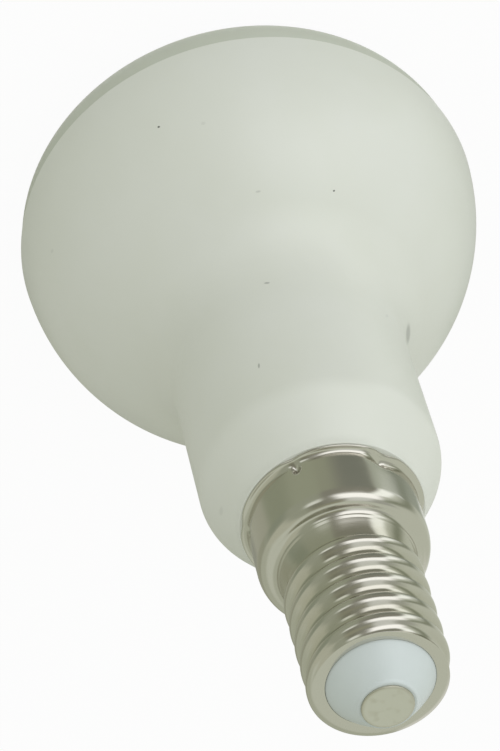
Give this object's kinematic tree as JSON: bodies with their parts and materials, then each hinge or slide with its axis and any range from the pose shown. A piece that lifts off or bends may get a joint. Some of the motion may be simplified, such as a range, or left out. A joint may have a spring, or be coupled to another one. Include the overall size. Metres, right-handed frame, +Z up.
{
  "type": "reflector bulb",
  "caption": "Reflector bulb with a white bowl and neck, an opal front and a small nickel-plated screw cap.",
  "frame": {"origin": "centre of the front face, on the surface that the lamp stands on", "axes": "+Z runs up the lamp's axis from the front face to the centre contact; -Y faces the camera"},
  "size_m": [0.0489, 0.0488, 0.083],
  "materials": {
    "diffuser": "opal moulded plastic, fine matte",
    "housing": "white moulded plastic, satin",
    "cap_shell": "nickel plate on drawn and rolled brass sheet",
    "cap_insulator": "bluish white moulded plastic, satin",
    "centre_contact": "dull nickel-plated metal"
  },
  "bodies": {
    "root": {"diffuser": "diffuser", "housing": "housing", "cap_shell": "cap_shell", "cap_insulator": "cap_insulator", "centre_contact": "centre_contact"}
  },
  "joints": []
}
